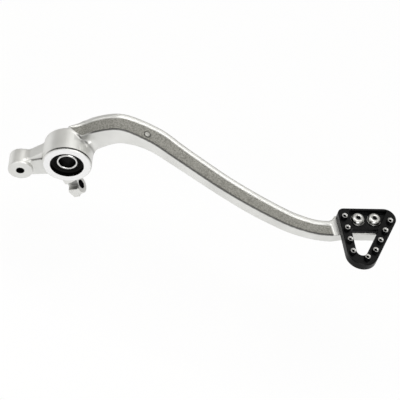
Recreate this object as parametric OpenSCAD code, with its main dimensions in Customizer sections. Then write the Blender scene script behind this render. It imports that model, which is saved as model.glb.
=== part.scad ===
/* [Pivot boss] */
// Outside diameter of the pivot boss
boss_d = 35; // [33:0.5:40]
// Length of the pivot boss along its axis
boss_len = 20; // [18:0.5:26]
// Chamfer on both rims of the boss
boss_chamfer = 0.8; // [0.4:0.1:1.2]
// Diameter of the seal seats at both ends of the boss
seal_d = 24; // [23.5:0.25:26]
// Depth of each seal seat, measured from the boss face
seat_depth = 6; // [5.5:0.25:6.5]
// Distance from the boss face to the end of the pivot sleeve
sleeve_recess = 2.7; // [2:0.1:3.2]

/* [Pivot sleeve and bearing] */
// Bore of the pivot sleeve, for the pivot bolt
sleeve_bore = 12; // [10:0.5:12.5]
// Outside diameter of the pivot sleeve, the inner race
sleeve_d = 15; // [14.5:0.1:15.2]
// Outside diameter of the drawn bearing shell
shell_d = 21; // [20.6:0.1:22]
// Wall of the drawn bearing shell
shell_wall = 1; // [0.6:0.1:1.1]
// Number of needle rollers
roller_count = 18; // [12:1:20]
// Length of each needle roller
roller_len = 5.8; // [4.5:0.1:6]
// Running clearance on each side of a moving bearing piece
running_gap = 0.05; // [0.03:0.01:0.08]

/* [Pushrod ear] */
// Outside diameter of the pushrod ear
ear_d = 17.5; // [15:0.5:20]
// Length of the ear along its hole
ear_len = 13; // [11:0.5:16]
// Pushrod hole
ear_hole = 6; // [5:0.25:8]
// Distance from the pivot axis to the pushrod hole
ear_arm = 35.2; // [33:0.5:42]
// Angle of the ear below the rearward horizontal
ear_angle = 32.7; // [25:0.5:40]
// Thickness of the web between boss and ear
ear_web = 9; // [6:0.5:10]

/* [Spring lug] */
// Distance from the pivot axis to the hole in the lug
lug_arm = 32.4; // [31:0.2:38]
// Angle of the lug, turned from straight down towards the pad
lug_angle = 29.4; // [22:0.2:36]
// Width of the lug along the pivot axis
lug_w = 13; // [11:0.5:15]
// Hole in the lug
lug_hole = 6.6; // [5:0.2:7]
// Thickness of the drilled plate of the lug
lug_plate = 4; // [3:0.25:5]

/* [Arm] */
// Distance from the pivot to the start of the straight tongue
arm_reach = 188.6; // [170:1:210]
// Sideways sweep of the arm away from the frame
arm_sweep = 39.2; // [25:0.2:50]
// Height of the crest of the arm above the pivot
crest_height = 35.2; // [30:0.2:38]
// Width of the arm beside the boss
root_w = 15.6; // [13:0.2:17]
// Width of the arm at mid length
arm_w = 14.4; // [12:0.2:17]
// Thickness of the arm at mid length
arm_h = 7.6; // [6:0.2:9]
// Depth of the channel in the top and bottom of the arm
channel_depth = 1.5; // [0.8:0.1:2]
// Width of the flange on the outer side of the channel
near_flange = 1.5; // [1:0.1:2.2]
// Width of the flange on the frame side of the channel
far_flange = 3.9; // [2:0.1:4.2]

/* [Tongue and step plate] */
// Height of the tongue's top face above the pivot
tongue_top = 20; // [18:0.5:24]
// Width of the tongue under the step plate
tongue_w = 18; // [16:0.2:18.4]
// Thickness of the tongue
tongue_h = 7.6; // [6:0.2:8.4]
// Angle of the tongue and step plate in plan
tongue_turn = 14; // [8:0.5:20]
// Thickness of the step plate
plate_t = 6; // [5:0.25:8]
// Depth of the screw pocket in the step plate
pocket_depth = 3; // [2:0.25:3.5]
// Width of the rail on the rear side of the step plate
rail_w = 7; // [6:0.25:8]
// Distance from the first grip pin to the upper edge of the plate
plate_back = 8.6; // [7:0.2:10]
// Radius of the round lower end of the plate
nose_r = 11.4; // [10.5:0.2:12]
// Distance from the first pin line to the centre of the round end
nose_drop = 29.6; // [28.5:0.2:34]

/* [Fasteners] */
// Thread diameter of the plate screws
screw_d = 5; // [4:0.5:5]
// Head diameter of the plate screws
head_d = 9.5; // [8.5:0.25:9.5]
// Height of the screw heads
head_h = 2.75; // [2:0.25:3]
// Hexagon socket of the screws, across flats
screw_hex = 3; // [2.5:0.25:3]
// Length of the screw shanks
screw_len = 10; // [8:0.5:12]
// Distance between the two plate screws
screw_pitch = 12.1; // [11:0.1:13]
// Outside diameter of the washers
washer_d = 10; // [9.6:0.1:10.5]
// Thickness of the washers
washer_t = 1; // [0.6:0.1:1.2]
// Thread diameter of the grip pins
pin_d = 4; // [3.5:0.1:4.5]
// Length of the grip pins
pin_len = 8.3; // [6:0.1:10]
// Height of the grip pins above the plate
pin_proud = 2.75; // [1.5:0.25:3.5]
// Hexagon socket of the grip pins, across flats
pin_hex = 2; // [1.5:0.1:2.2]
// Clearance round screws, pins and seated rings
seat_gap = 0.03; // [0.02:0.01:0.06]

/* [Hidden] */
$fn = 72;
eps = 0.01;

boss_r = boss_d / 2;
seal_r = seal_d / 2;
shell_r = shell_d / 2;
bore_half = boss_len / 2 - seat_depth;
sleeve_len = boss_len - 2 * sleeve_recess;
race_r = shell_r - shell_wall;
roller_r = (race_r - sleeve_d / 2) / 2 - running_gap;
roller_pitch = (race_r + sleeve_d / 2) / 2;
cage_t = 1.1;
cage_len = 2 * bore_half - 0.6;

// The arm's outer top edge, as [share of reach, share of sweep, share of crest, width, thickness]
root_y = 2;
arm_stations = [
    [-0.024, 0, -0.230, root_w - 5.6, 4.0],
    [-0.008, 0, -0.197, root_w - 4, 4.5],
    [0.011, 0, -0.190, root_w - 2, 4.7],
    [0.0265, 0, -0.171, root_w - 0.2, 5.4],
    [0.036, 0, -0.026, root_w, 9.0],
    [0.056, 0, 0.362, root_w, 16],
    [0.082, 0, 0.590, root_w, 20.5],
    [0.109, 0, 0.790, root_w, 20.6],
    [0.136, 0, 0.940, root_w, 18],
    [0.165, 0.003, 1.000, root_w + 0.2, 14.8],
    [0.196, 0.015, 0.975, root_w + 0.4, 12.6],
    [0.240, 0.054, 0.915, root_w + 0.6, 10.2],
    [0.293, 0.125, 0.850, root_w + 0.5, 9.0],
    [0.358, 0.263, 0.755, arm_w + 0.8, arm_h + 0.7],
    [0.424, 0.401, 0.658, arm_w + 0.4, arm_h + 0.3],
    [0.555, 0.668, 0.474, arm_w, arm_h],
    [0.684, 0.888, 0.309, arm_w - 0.2, arm_h + 0.4],
    [0.812, 1.051, 0.158, arm_w - 0.6, arm_h + 0.2],
    [0.877, 1.089, 0.086, arm_w - 0.7, arm_h - 0.1],
    [0.939, 1.087, 0.026, arm_w - 0.9, arm_h - 0.3],
    [1.000, 1.036, 0, arm_w - 0.2, tongue_h],
    [1.045, 0.946, 0, tongue_w, tongue_h]
];
ring_steps = 3;
channel_start = 0.040;
channel_end = 0.985;
channel_fade = 0.030;
edge_cut = 0.7;
flank = 1.1;

// The plate's own axes start at the first grip pin
tongue_near = 9.9;
pin_line_x = arm_reach + 6;
plate_u = [cos(tongue_turn), sin(tongue_turn)];
plate_v = [-sin(tongue_turn), cos(tongue_turn)];
near_end_y = root_y - arm_sweep;
pin_line_y = near_end_y + tongue_near / cos(tongue_turn)
    + (pin_line_x - arm_reach) * tan(tongue_turn);
plate_origin = [pin_line_x, pin_line_y];
tongue_len = 29;
tongue_bevel = 2;
screw_x = 10.6;
screw_y = -0.1;
pocket_floor = tongue_top + plate_t - pocket_depth;
plate_top = tongue_top + plate_t;

rail_half = rail_w / 2;
slant = 32.1;
corner_x = 45.3;
window_back = -8.8;
pocket_gap = 0.5;
slant_rail = 8.2;
pin_inset = 4.2;
nose_x = nose_r - rail_half;

pin_pitch = 10.1;
side_pitch = 10.2;
side_start = [33.0, -3.5];
pin_places = [
    [0, 0], [0, -pin_pitch], [0, -2 * pin_pitch], [0, -nose_drop - 0.8],
    [9.6, -nose_drop - 5.8],
    side_start - 3 * side_pitch * [sin(slant), cos(slant)],
    side_start - 2 * side_pitch * [sin(slant), cos(slant)],
    side_start - side_pitch * [sin(slant), cos(slant)],
    side_start
];

// Cubic blend through the stations, with the slope at each taken from its neighbours
function slope(i, c) =
    let (a = max(i - 1, 0), b = min(i + 1, len(arm_stations) - 1))
    (arm_stations[b][c] - arm_stations[a][c]) / (arm_stations[b][0] - arm_stations[a][0]);
function blend(i, f, c) =
    let (
        p = arm_stations[i],
        q = arm_stations[i + 1],
        run = q[0] - p[0]
    )
    p[c] * (1 - 3 * f * f + 2 * f * f * f) + q[c] * (3 * f * f - 2 * f * f * f)
    + run * (slope(i, c) * (f - 2 * f * f + f * f * f) + slope(i + 1, c) * (f * f * f - f * f));
function share(i, f) = arm_stations[i][0] * (1 - f) + arm_stations[i + 1][0] * f;

ring_keys = [
    for (i = [0:len(arm_stations) - 2])
        for (k = [0:ring_steps - 1])
            [i, k / ring_steps]
];
function ramp(v) = max(0, min(1, v));
function groove(s) =
    channel_depth * ramp((s - channel_start) / channel_fade) * ramp((channel_end - s) / channel_fade);
function station_near(i, f) = [
    share(i, f) * arm_reach,
    root_y - arm_sweep * blend(i, f, 1),
    tongue_top + (crest_height - tongue_top) * blend(i, f, 2)
];
function heading(i, f) =
    let (
        a = station_near(i, max(0, f - 0.1)),
        b = station_near(i, min(1, f + 0.1))
    )
    atan2(b[1] - a[1], b[0] - a[0]);

// One ring of the H-section: the outer edge stands at near, the frame side a width further
function ring(near, turn, w, h, d, inset) =
    let (
        outline = [
            [inset, -h + edge_cut], [inset, -edge_cut], [inset + edge_cut, 0],
            [near_flange, 0], [near_flange + flank, -d],
            [w - far_flange - flank, -d], [w - far_flange, 0],
            [w - inset - edge_cut, 0], [w - inset, -edge_cut],
            [w - inset, -h + edge_cut], [w - inset - edge_cut, -h],
            [w - far_flange, -h], [w - far_flange - flank, d - h],
            [near_flange + flank, d - h], [near_flange, -h], [inset + edge_cut, -h]
        ]
    )
    [for (p = outline) [near[0] - sin(turn) * p[0], near[1] + cos(turn) * p[0], near[2] + p[1]]];

function tongue_ring(run, inset) =
    let (
        foot = plate_origin + run * plate_u - tongue_near * plate_v
    )
    ring([foot[0], foot[1], tongue_top], tongue_turn, tongue_w, tongue_h, 0, inset);

arm_rings = concat(
    [
        for (k = ring_keys)
            ring(
                station_near(k[0], k[1]), heading(k[0], k[1]),
                blend(k[0], k[1], 3), blend(k[0], k[1], 4),
                groove(share(k[0], k[1])), 0
            )
    ],
    [tongue_ring(6, 0), tongue_ring(tongue_len - tongue_bevel, 0)],
    [tongue_ring(tongue_len, 0.6)]
);

function middle(ring_points) = [for (p = ring_points) 1] * ring_points / len(ring_points);

module swept(rings) {
    n = len(rings[0]);
    last = len(rings) - 1;
    head = len(rings) * n;
    polyhedron(
        points = concat([for (r = rings) each r], [middle(rings[0])], [middle(rings[last])]),
        faces = concat(
            [for (j = [0:n - 1]) [head, (j + 1) % n, j]],
            [for (j = [0:n - 1]) [head + 1, last * n + j, last * n + (j + 1) % n]],
            [
                for (i = [0:last - 1])
                    for (j = [0:n - 1])
                        each [
                            [i * n + j, i * n + (j + 1) % n, (i + 1) * n + j],
                            [i * n + (j + 1) % n, (i + 1) * n + (j + 1) % n, (i + 1) * n + j]
                        ]
            ]
        )
    );
}

// Turned body about the pivot direction, from a profile of [radius, place along the axis]
module turned(profile, angle = 360) {
    rotate([-90, 0, 0]) rotate_extrude(angle = angle) polygon(profile);
}

module rod(r, length) {
    rotate([90, 0, 0]) cylinder(r = r, h = length, center = true);
}

function barrel(r, half, cut) = [
    [0, -half], [r - cut, -half], [r, -half + cut], [r, half - cut], [r - cut, half], [0, half]
];

ear_place = [-ear_arm * cos(ear_angle), 0, -ear_arm * sin(ear_angle)];
ear_back = 5.5;
web_step = 0.9;
web_ledge = 4.5;
ear_mid = ear_back - ear_len / 2;
lug_place = [lug_arm * sin(lug_angle), 0, -lug_arm * cos(lug_angle)];
lug_tilt = 41;
lug_tip = 6.5;
lug_back = 8;
lug_root = -14.5;
pocket_run = 9;
pocket_end = 1.1;
hole_relief = 0.3;
lug_side = 2.6;
lug_shoulder = 4.6;

module ear() {
    translate([ear_place[0], ear_mid, ear_place[2]])
        turned(barrel(ear_d / 2, ear_len / 2, boss_chamfer));
    web_far = ear_back - 0.2;
    web_plate(web_far, ear_web, boss_r - 7.2);
    web_plate(web_far, ear_web + web_step, web_ledge);
}

// Web between boss and ear, from its frame side at far, with its upper edge at top
module web_plate(far, depth, top) {
    shoulder = min(top, ear_d / 2 - 2);
    rotate([0, -ear_angle, 0])
        translate([0, far, 0])
            rotate([90, 0, 0])
                linear_extrude(depth)
                    polygon([
                        [0, -boss_r + 3], [-boss_r + 2, -boss_r + 5.5], [-ear_arm, -ear_d / 2 + 0.6],
                        [-ear_arm, shoulder], [-ear_arm + ear_d / 2, shoulder],
                        [-boss_r + 2, top], [0, top]
                    ]);
}

// Drilled plate with a pocketed rib behind it, in axes of its own centred on the lug hole
module lug() {
    translate(lug_place) rotate([0, lug_tilt, 0]) {
        difference() {
            union() {
                translate([lug_tip - lug_w / 2, 0, -lug_plate])
                    linear_extrude(lug_plate)
                        intersection() {
                            circle(d = lug_w);
                            translate([0, -lug_w / 2]) square([lug_w, lug_w]);
                        }
                translate([-lug_arm + boss_r - 4, -lug_w / 2, -lug_plate])
                    cube([lug_arm - boss_r + 4 + lug_tip - lug_w / 2 + eps, lug_w, lug_plate]);
                translate([0, lug_w / 2, 0])
                    rotate([90, 0, 0])
                        linear_extrude(lug_w)
                            polygon([
                                [lug_root - 2, eps - lug_plate], [lug_root, -lug_plate - 0.4],
                                [-lug_shoulder - 0.3, 0.4 - lug_back], [lug_shoulder + 0.3, -lug_back],
                                [lug_shoulder + 1.4, eps - lug_plate]
                            ]);
                translate([0, lug_w / 2, 0])
                    rotate([90, 0, 0])
                        linear_extrude(lug_w)
                            polygon([
                                [lug_root, -eps], [-lug_hole / 2 - 1.2, -eps],
                                [-lug_hole / 2 - 5, lug_shoulder], [lug_root, lug_shoulder + 1.5]
                            ]);
            }
            translate([-pocket_run, -lug_w, -2 * lug_back])
                cube([pocket_run + pocket_end, 1.5 * lug_w - lug_side, 2 * lug_back - lug_plate]);
            translate([0, 0, -2 * lug_back]) cylinder(r = lug_hole / 2 + hole_relief, h = 2 * lug_back - lug_plate);
            cylinder(d = lug_hole, h = 3 * lug_plate, center = true);
        }
    }
}

module on_plate(p, z = 0) {
    translate([plate_origin[0], plate_origin[1], z])
        rotate(tongue_turn)
            translate([p[0], p[1], 0])
                children();
}

module lever_arm() {
    color([0.78, 0.78, 0.79])
        difference() {
            union() {
                turned(barrel(boss_r, boss_len / 2, boss_chamfer));
                ear();
                lug();
                swept(arm_rings);
            }
            rod(shell_r, boss_len + eps);
            for (side = [-1, 1])
                translate([0, side * (bore_half + seat_depth / 2 + 10), 0])
                    rod(seal_r, seat_depth + 20);
            translate([ear_place[0], ear_mid, ear_place[2]]) rod(ear_hole / 2, ear_len + 2);
            for (k = [0, 1])
                on_plate([screw_x + k * screw_pitch, screw_y], tongue_top - tongue_h - 1)
                    cylinder(d = screw_d + 2 * seat_gap, h = tongue_h + 2);
        }
}

module pivot_sleeve() {
    cut = 0.4;
    half = sleeve_len / 2;
    color([0.86, 0.86, 0.87])
        turned([
            [sleeve_bore / 2, -half], [sleeve_d / 2 - cut, -half], [sleeve_d / 2, -half + cut],
            [sleeve_d / 2, half - cut], [sleeve_d / 2 - cut, half], [sleeve_bore / 2, half]
        ]);
}

module bearing_shell() {
    color([0.62, 0.63, 0.65])
        turned([
            [race_r, -bore_half + seat_gap], [shell_r - seat_gap, -bore_half + seat_gap],
            [shell_r - seat_gap, bore_half - seat_gap], [race_r, bore_half - seat_gap]
        ]);
}

module roller_ring(r, length) {
    for (k = [0:roller_count - 1])
        rotate([0, k * 360 / roller_count, 0])
            translate([roller_pitch, 0, 0])
                rod(r, length);
}

module bearing_cage() {
    color([0.55, 0.56, 0.58])
        difference() {
            turned([
                [roller_pitch - cage_t / 2, -cage_len / 2], [roller_pitch + cage_t / 2, -cage_len / 2],
                [roller_pitch + cage_t / 2, cage_len / 2], [roller_pitch - cage_t / 2, cage_len / 2]
            ]);
            roller_ring(roller_r + running_gap, roller_len + 4 * running_gap);
        }
}

module needle_rollers() {
    color([0.8, 0.8, 0.82]) roller_ring(roller_r, roller_len);
}

// Lip seal with a dished outer face, lying against the shoulder of its seat
module seal(side) {
    inner = sleeve_d / 2 + seat_gap;
    outer = seal_r - seat_gap;
    shoulder = bore_half + seat_gap;
    face = boss_len / 2 - sleeve_recess - 0.3;
    dish = 0.7;
    color([0.12, 0.12, 0.13])
        rotate([0, 0, side > 0 ? 0 : 180])
            turned([
                [inner, shoulder], [outer, shoulder], [outer, face], [outer - 1.2, face],
                [outer - 1.9, face - dish], [inner + 0.9, face - dish], [inner, face - 0.1]
            ]);
}

module seal_outer() { seal(-1); }
module seal_inner() { seal(1); }

function arc(centre, r, from, to, steps) =
    [for (k = [0:steps]) centre + r * [cos(from + (to - from) * k / steps), sin(from + (to - from) * k / steps)]];

// Outline of the plate: straight rear side, square back, slanted front, round lower end
module plate_outline() {
    slant_dir = [sin(slant), cos(slant)];
    nose = [nose_x, -nose_drop];
    front_tip = [corner_x, plate_back];
    rear_r = 5;
    tip_r = 8;
    tip = front_tip - [(tip_r + tip_r * sin(slant)) / cos(slant), tip_r];
    polygon(concat(
        arc([-rail_half + rear_r, plate_back - rear_r], rear_r, 180, 90, 8),
        arc(tip, tip_r, 90, -slant, 8),
        arc(nose, nose_r, -slant, -180, 28)
    ));
}

module plate_window() {
    inner_r = 4;
    low = [rail_half + inner_r, -nose_drop + 1.1];
    back_front = corner_x - (plate_back - window_back) * tan(slant) - slant_rail / cos(slant);
    slant_inset = [cos(slant), -sin(slant)];
    edge_low = low + inner_r * slant_inset;
    edge_back = [edge_low[0] + (window_back - edge_low[1]) * tan(slant), window_back];
    back_r = 2;
    polygon(concat(
        arc([rail_half + back_r, window_back - back_r], back_r, 180, 90, 6),
        arc(edge_back - [(back_r + back_r * sin(slant)) / cos(slant), back_r], back_r, 90, -slant, 6),
        arc(low, inner_r, -slant, -180, 14)
    ));
}

// Pocket for the screw heads: open to the window, with a thin lip along the back
module pocket_outline() {
    lip = 2;
    corner_r = 2;
    back = plate_back - lip;
    left = screw_x - washer_d / 2 - pocket_gap;
    right = screw_x + screw_pitch + (washer_d / 2 + pocket_gap) / cos(slant);
    polygon(concat(
        [[left, window_back - 1]],
        arc([left + corner_r, back - corner_r], corner_r, 180, 90, 6),
        [[right + back * tan(slant), back], [right + (window_back - 1) * tan(slant), window_back - 1]]
    ));
}

module step_plate() {
    color([0.1, 0.1, 0.11])
        difference() {
            on_plate([0, 0], tongue_top) linear_extrude(plate_t) plate_outline();
            on_plate([0, 0], tongue_top - 1) linear_extrude(plate_t + 2) plate_window();
            on_plate([0, 0], pocket_floor) linear_extrude(pocket_depth + 1) pocket_outline();
            for (k = [0, 1])
                on_plate([screw_x + k * screw_pitch, screw_y], tongue_top - 1)
                    cylinder(d = screw_d + 0.5, h = plate_t);
            for (p = pin_places)
                on_plate(p, tongue_top - 1)
                    cylinder(d = pin_d + 2 * seat_gap, h = plate_t + 2);
        }
}

module plate_screw(k) {
    seat = pocket_floor + washer_t + seat_gap;
    crown = 5.9;
    hex_r = screw_hex / 2 / cos(30);
    color([0.6, 0.6, 0.6])
        on_plate([screw_x + k * screw_pitch, screw_y], seat)
            difference() {
                rotate_extrude()
                    polygon(concat(
                        [[0, -screw_len], [screw_d / 2 - 0.5, -screw_len], [screw_d / 2, 0.5 - screw_len]],
                        [[screw_d / 2, 0], [head_d / 2, 0], [head_d / 2, 0.35]],
                        [for (a = [15:15:75]) [
                            crown / 2 + (head_d - crown) / 2 * cos(a),
                            0.35 + (head_h - 0.35) * sin(a)
                        ]],
                        [[crown / 2, head_h], [0, head_h]]
                    ));
                translate([0, 0, head_h - 1.6]) cylinder(r = hex_r, h = 2, $fn = 6);
            }
}

module plate_screw_rear() { plate_screw(0); }
module plate_screw_front() { plate_screw(1); }

module plate_washer(k) {
    color([0.68, 0.68, 0.69])
        on_plate([screw_x + k * screw_pitch, screw_y], pocket_floor)
            difference() {
                cylinder(d = washer_d, h = washer_t);
                translate([0, 0, -1]) cylinder(d = screw_d + 0.3, h = washer_t + 2);
            }
}

module plate_washer_rear() { plate_washer(0); }
module plate_washer_front() { plate_washer(1); }

// Set screw that stands proud of the plate as a grip point
module grip_pin(k) {
    cut = 0.4;
    r = pin_d / 2;
    color([0.16, 0.16, 0.17])
        on_plate(pin_places[k - 1], plate_top + pin_proud - pin_len)
            difference() {
                rotate_extrude()
                    polygon([
                        [0, 0], [r - cut, 0], [r, cut], [r, pin_len - cut], [r - cut, pin_len], [0, pin_len]
                    ]);
                translate([0, 0, pin_len - 1.8]) cylinder(r = pin_hex / 2 / cos(30), h = 3, $fn = 6);
            }
}

lever_arm();
pivot_sleeve();
bearing_shell();
bearing_cage();
needle_rollers();
seal_outer();
seal_inner();
step_plate();
plate_screw_rear();
plate_screw_front();
plate_washer_rear();
plate_washer_front();
grip_pin(1);  // grip_pin_1
grip_pin(2);  // grip_pin_2
grip_pin(3);  // grip_pin_3
grip_pin(4);  // grip_pin_4
grip_pin(5);  // grip_pin_5
grip_pin(6);  // grip_pin_6
grip_pin(7);  // grip_pin_7
grip_pin(8);  // grip_pin_8
grip_pin(9);  // grip_pin_9
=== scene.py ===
import math
import bpy
import numpy as np
import openvdb
from mathutils import Matrix, Vector


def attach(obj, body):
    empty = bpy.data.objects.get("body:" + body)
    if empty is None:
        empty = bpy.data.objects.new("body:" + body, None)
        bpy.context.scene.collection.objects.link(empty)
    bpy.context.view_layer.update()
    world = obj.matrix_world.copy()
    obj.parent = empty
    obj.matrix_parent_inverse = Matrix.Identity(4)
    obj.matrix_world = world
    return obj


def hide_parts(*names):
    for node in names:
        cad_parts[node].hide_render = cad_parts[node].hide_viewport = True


# Rear brake pedal lever: forged arm, pivot boss with its sleeve and seals, step plate with grip pins.
# Lengths are worked out in millimetres and put into the meshes in metres.

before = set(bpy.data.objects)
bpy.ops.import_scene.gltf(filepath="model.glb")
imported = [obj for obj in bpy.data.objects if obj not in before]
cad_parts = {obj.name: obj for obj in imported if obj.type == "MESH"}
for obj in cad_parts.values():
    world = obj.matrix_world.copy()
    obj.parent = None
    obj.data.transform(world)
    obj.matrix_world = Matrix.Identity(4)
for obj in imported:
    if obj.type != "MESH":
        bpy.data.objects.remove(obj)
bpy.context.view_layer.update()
mm = 0.001
print("stage: frame loaded,", len(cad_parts), "nodes")


# Helpers for meshes and materials

# sRGB hex to linear: c / 12.92 below 0.04045, else ((c + 0.055) / 1.055) to the power 2.4
def linearColour(hexCode):
    parts = [int(hexCode[i:i + 2], 16) / 255 for i in (1, 3, 5)]
    return [c / 12.92 if c < 0.04045 else ((c + 0.055) / 1.055) ** 2.4 for c in parts] + [1.0]


def addNode(tree, kind, inputs=None, links=None, **settings):
    new = tree.nodes.new(kind)
    for key, value in settings.items():
        setattr(new, key, value)
    for key, value in (inputs or {}).items():
        new.inputs[key].default_value = value
    for key, source in (links or {}).items():
        tree.links.new(source, new.inputs[key])
    return new


# A mesh object at the origin; points are in millimetres, faces is an array of quads or a list of faces
def meshFrom(name, points, faces):
    mesh = bpy.data.meshes.new(name)
    quads = faces.tolist() if isinstance(faces, np.ndarray) else faces
    mesh.from_pydata((np.asarray(points, float) * mm).tolist(), [], quads)
    mesh.update()
    piece = bpy.data.objects.new(name, mesh)
    bpy.context.scene.collection.objects.link(piece)
    return piece


# Quads of a rows x columns grid whose columns close on themselves; the rows close too if asked
def gridFaces(rows, columns, closedRows=False):
    i = np.arange(rows if closedRows else rows - 1)[:, None]
    j = np.arange(columns)[None, :]
    nextI = (i + 1) % rows
    nextJ = (j + 1) % columns
    quads = [i * columns + j, i * columns + nextJ, nextI * columns + nextJ, nextI * columns + j]
    return np.stack(np.broadcast_arrays(*quads), -1).reshape(-1, 4)


# Turns every face of a closed mesh outwards, from the sign of its volume
def outward(piece):
    mesh = piece.data
    mesh.calc_loop_triangles()
    co = np.zeros(len(mesh.vertices) * 3)
    mesh.vertices.foreach_get("co", co)
    tri = np.zeros(len(mesh.loop_triangles) * 3, int)
    mesh.loop_triangles.foreach_get("vertices", tri)
    a, b, c = np.moveaxis(co.reshape(-1, 3)[tri.reshape(-1, 3)], 1, 0)
    if np.einsum("ij,ij->i", a, np.cross(b, c)).sum() < 0:
        mesh.flip_normals()
    return piece


# Smooth faces, with edges sharper than the angle kept crisp
def shade(piece, angle):
    piece.data.shade_smooth()
    piece.data.set_sharp_from_angle(angle=math.radians(angle))
    return piece


# Takes each cutter out of the piece and deletes the cutter
def cutAway(piece, cutters):
    for cutter in cutters:
        outward(cutter)
        mod = piece.modifiers.new("cut", "BOOLEAN")
        mod.operation, mod.solver, mod.object = "DIFFERENCE", "MANIFOLD", cutter
        applied(piece)
        bpy.data.objects.remove(cutter)
    return piece


# Puts the result of the piece's modifiers into its own mesh
def applied(piece):
    graph = bpy.context.evaluated_depsgraph_get()
    done = bpy.data.meshes.new_from_object(piece.evaluated_get(graph))
    piece.modifiers.clear()
    old = piece.data
    piece.data = done
    bpy.data.meshes.remove(old)
    return piece


def place(piece, matrix):
    piece.data.transform(matrix)
    return piece


# A piece turned about Z is laid along Y, with its top towards +Y for side 1 and towards -Y for side -1
def layDown(piece, side=1):
    return place(piece, Matrix.Rotation(math.radians(-90 * side), 4, "X"))


# u = x cos a - z sin a, v = x sin a + z cos a
def turned(x, z, degrees):
    c, n = math.cos(math.radians(degrees)), math.sin(math.radians(degrees))
    return c * x - n * z, n * x + c * z


# Number of the material's slot on the piece, added if it isn't there
def slotOf(piece, material):
    names = [kept.name for kept in piece.data.materials]
    if material.name not in names:
        piece.data.materials.append(material)
        names.append(material.name)
    return names.index(material.name)


# Faces nearer to a hole's axis than the radius take a second material, which paints shade down the hole.
# The axis runs along Y through the x and z of at, or upright in the XZ plane when it is tilted, and reach
# mm to either side
def darkenBore(piece, material, radius, at=(0, 0), tilt=0, reach=20):
    count = len(piece.data.polygons)
    centre = np.zeros(count * 3)
    piece.data.polygons.foreach_get("center", centre)
    x, y, z = centre.reshape(-1, 3).T / mm
    u, v = turned(x - at[0], z - at[1], tilt)
    away, along = (np.hypot(u, y), v) if tilt else (np.hypot(u, v), y)
    index = np.zeros(count, int)
    piece.data.polygons.foreach_get("material_index", index)
    index[(away < radius) & (np.abs(along) < reach)] = slotOf(piece, material)
    piece.data.polygons.foreach_set("material_index", index)


# Rows of quads of a turned surface take a second material, used for painted shade on flanks and in sockets
def darkenRows(piece, material, sides, first, last):
    index = np.zeros(len(piece.data.polygons), int)
    piece.data.polygons.foreach_get("material_index", index)
    index[first * sides:last * sides] = slotOf(piece, material)
    piece.data.polygons.foreach_set("material_index", index)


# Dresses a piece, and says what it rides on, replaces and takes its finish from
def finishPiece(piece, material, nodeName, body):
    piece.data.materials.clear()
    piece.data.materials.append(material)
    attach(piece, body)
    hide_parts(nodeName)
    return piece


# Profile turned about Z: point = (r cos a, r sin a, z). Rows in hexRows follow a hexagon whose flats lie r
# from the axis: r / cos(((a + 30) mod 60) - 30). A thread lowers r by depth x a triangle wave of
# (z / pitch - a / 360)
def turnedSurface(name, profile, sides, hexRows=(), thread=None):
    profile = np.asarray(profile, float)
    a = np.arange(sides) * 2 * np.pi / sides
    r = np.repeat(profile[:, :1], sides, 1)
    z = np.repeat(profile[:, 1:], sides, 1)
    hexagon = 1 / np.cos((a + np.pi / 6) % (np.pi / 3) - np.pi / 6)
    for row in hexRows:
        r[row] *= hexagon
    if thread:
        wave = np.abs((z / thread["pitch"] - a / (2 * np.pi)) % 1 * 2 - 1)
        inside = (z > thread["low"]) & (z < thread["high"]) & (r > thread["rootOver"])
        r = r - np.where(inside, thread["depth"] * wave, 0)
    points = np.stack([r * np.cos(a), r * np.sin(a), z], -1).reshape(-1, 3)
    piece = meshFrom(name, points, gridFaces(len(profile), sides, closedRows=True))
    return outward(piece)


# A closed plate: the outline, moved along its own normals by each level's offset, at that level's z, with
# flat ends. levels is [(offset, z), ...]
def solidOutline(name, outline, levels):
    outline = np.asarray(outline, float)
    count = len(outline)
    along = np.roll(outline, -1, 0) - np.roll(outline, 1, 0)
    along /= np.linalg.norm(along, axis=1, keepdims=True)
    normal = np.stack([along[:, 1], -along[:, 0]], -1)
    area = np.sum(outline[:, 0] * np.roll(outline[:, 1], -1) - outline[:, 1] * np.roll(outline[:, 0], -1))
    normal *= np.sign(area)
    rings = [np.column_stack([outline + off * normal, np.full(count, z)]) for off, z in levels]
    faces = gridFaces(len(levels), count).tolist()
    faces.append(list(range(count))[::-1])
    faces.append([(len(levels) - 1) * count + k for k in range(count)])
    return outward(meshFrom(name, np.concatenate(rings), faces))


# Camera: the photograph looks down on the lever from the front left, rolled about its own axis

view = {
    "right": (0.967, 0.067, 0.246),
    "up": (-0.208, 0.765, 0.609),
    "target": (95.9, -18.2, 3.3),     # mm, the point at the middle of the picture
    "frameWidth": 280.0,              # mm across the picture at the target
    "distance": 2400.0,
    "sensor": 36.0,
}


def addCamera(v):
    right = Vector(v["right"]).normalized()
    up = Vector(v["up"])
    up = (up - right * up.dot(right)).normalized()
    back = right.cross(up)
    data = bpy.data.cameras.new("camera")
    data.sensor_width = v["sensor"]
    data.lens = v["sensor"] * v["distance"] / v["frameWidth"]
    data.clip_end = 50
    cam = bpy.data.objects.new("camera", data)
    bpy.context.scene.collection.objects.link(cam)
    turn = Matrix((right, up, back)).transposed().to_4x4()
    spot = (Vector(v["target"]) + back * v["distance"]) * mm
    cam.matrix_world = Matrix.Translation(spot) @ turn
    bpy.context.scene.camera = cam


addCamera(view)
print("stage: camera placed")


# Materials

def objectCoords(tree):
    return addNode(tree, "ShaderNodeTexCoord").outputs["Object"]


def emptyMaterial(name):
    mat = bpy.data.materials.new(name)
    mat.use_nodes = True
    mat.node_tree.nodes.clear()
    return mat, mat.node_tree


def newMaterial(name):
    mat, tree = emptyMaterial(name)
    shader = addNode(tree, "ShaderNodeBsdfPrincipled")
    addNode(tree, "ShaderNodeOutputMaterial", links={"Surface": shader.outputs[0]})
    return mat, tree, shader


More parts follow.
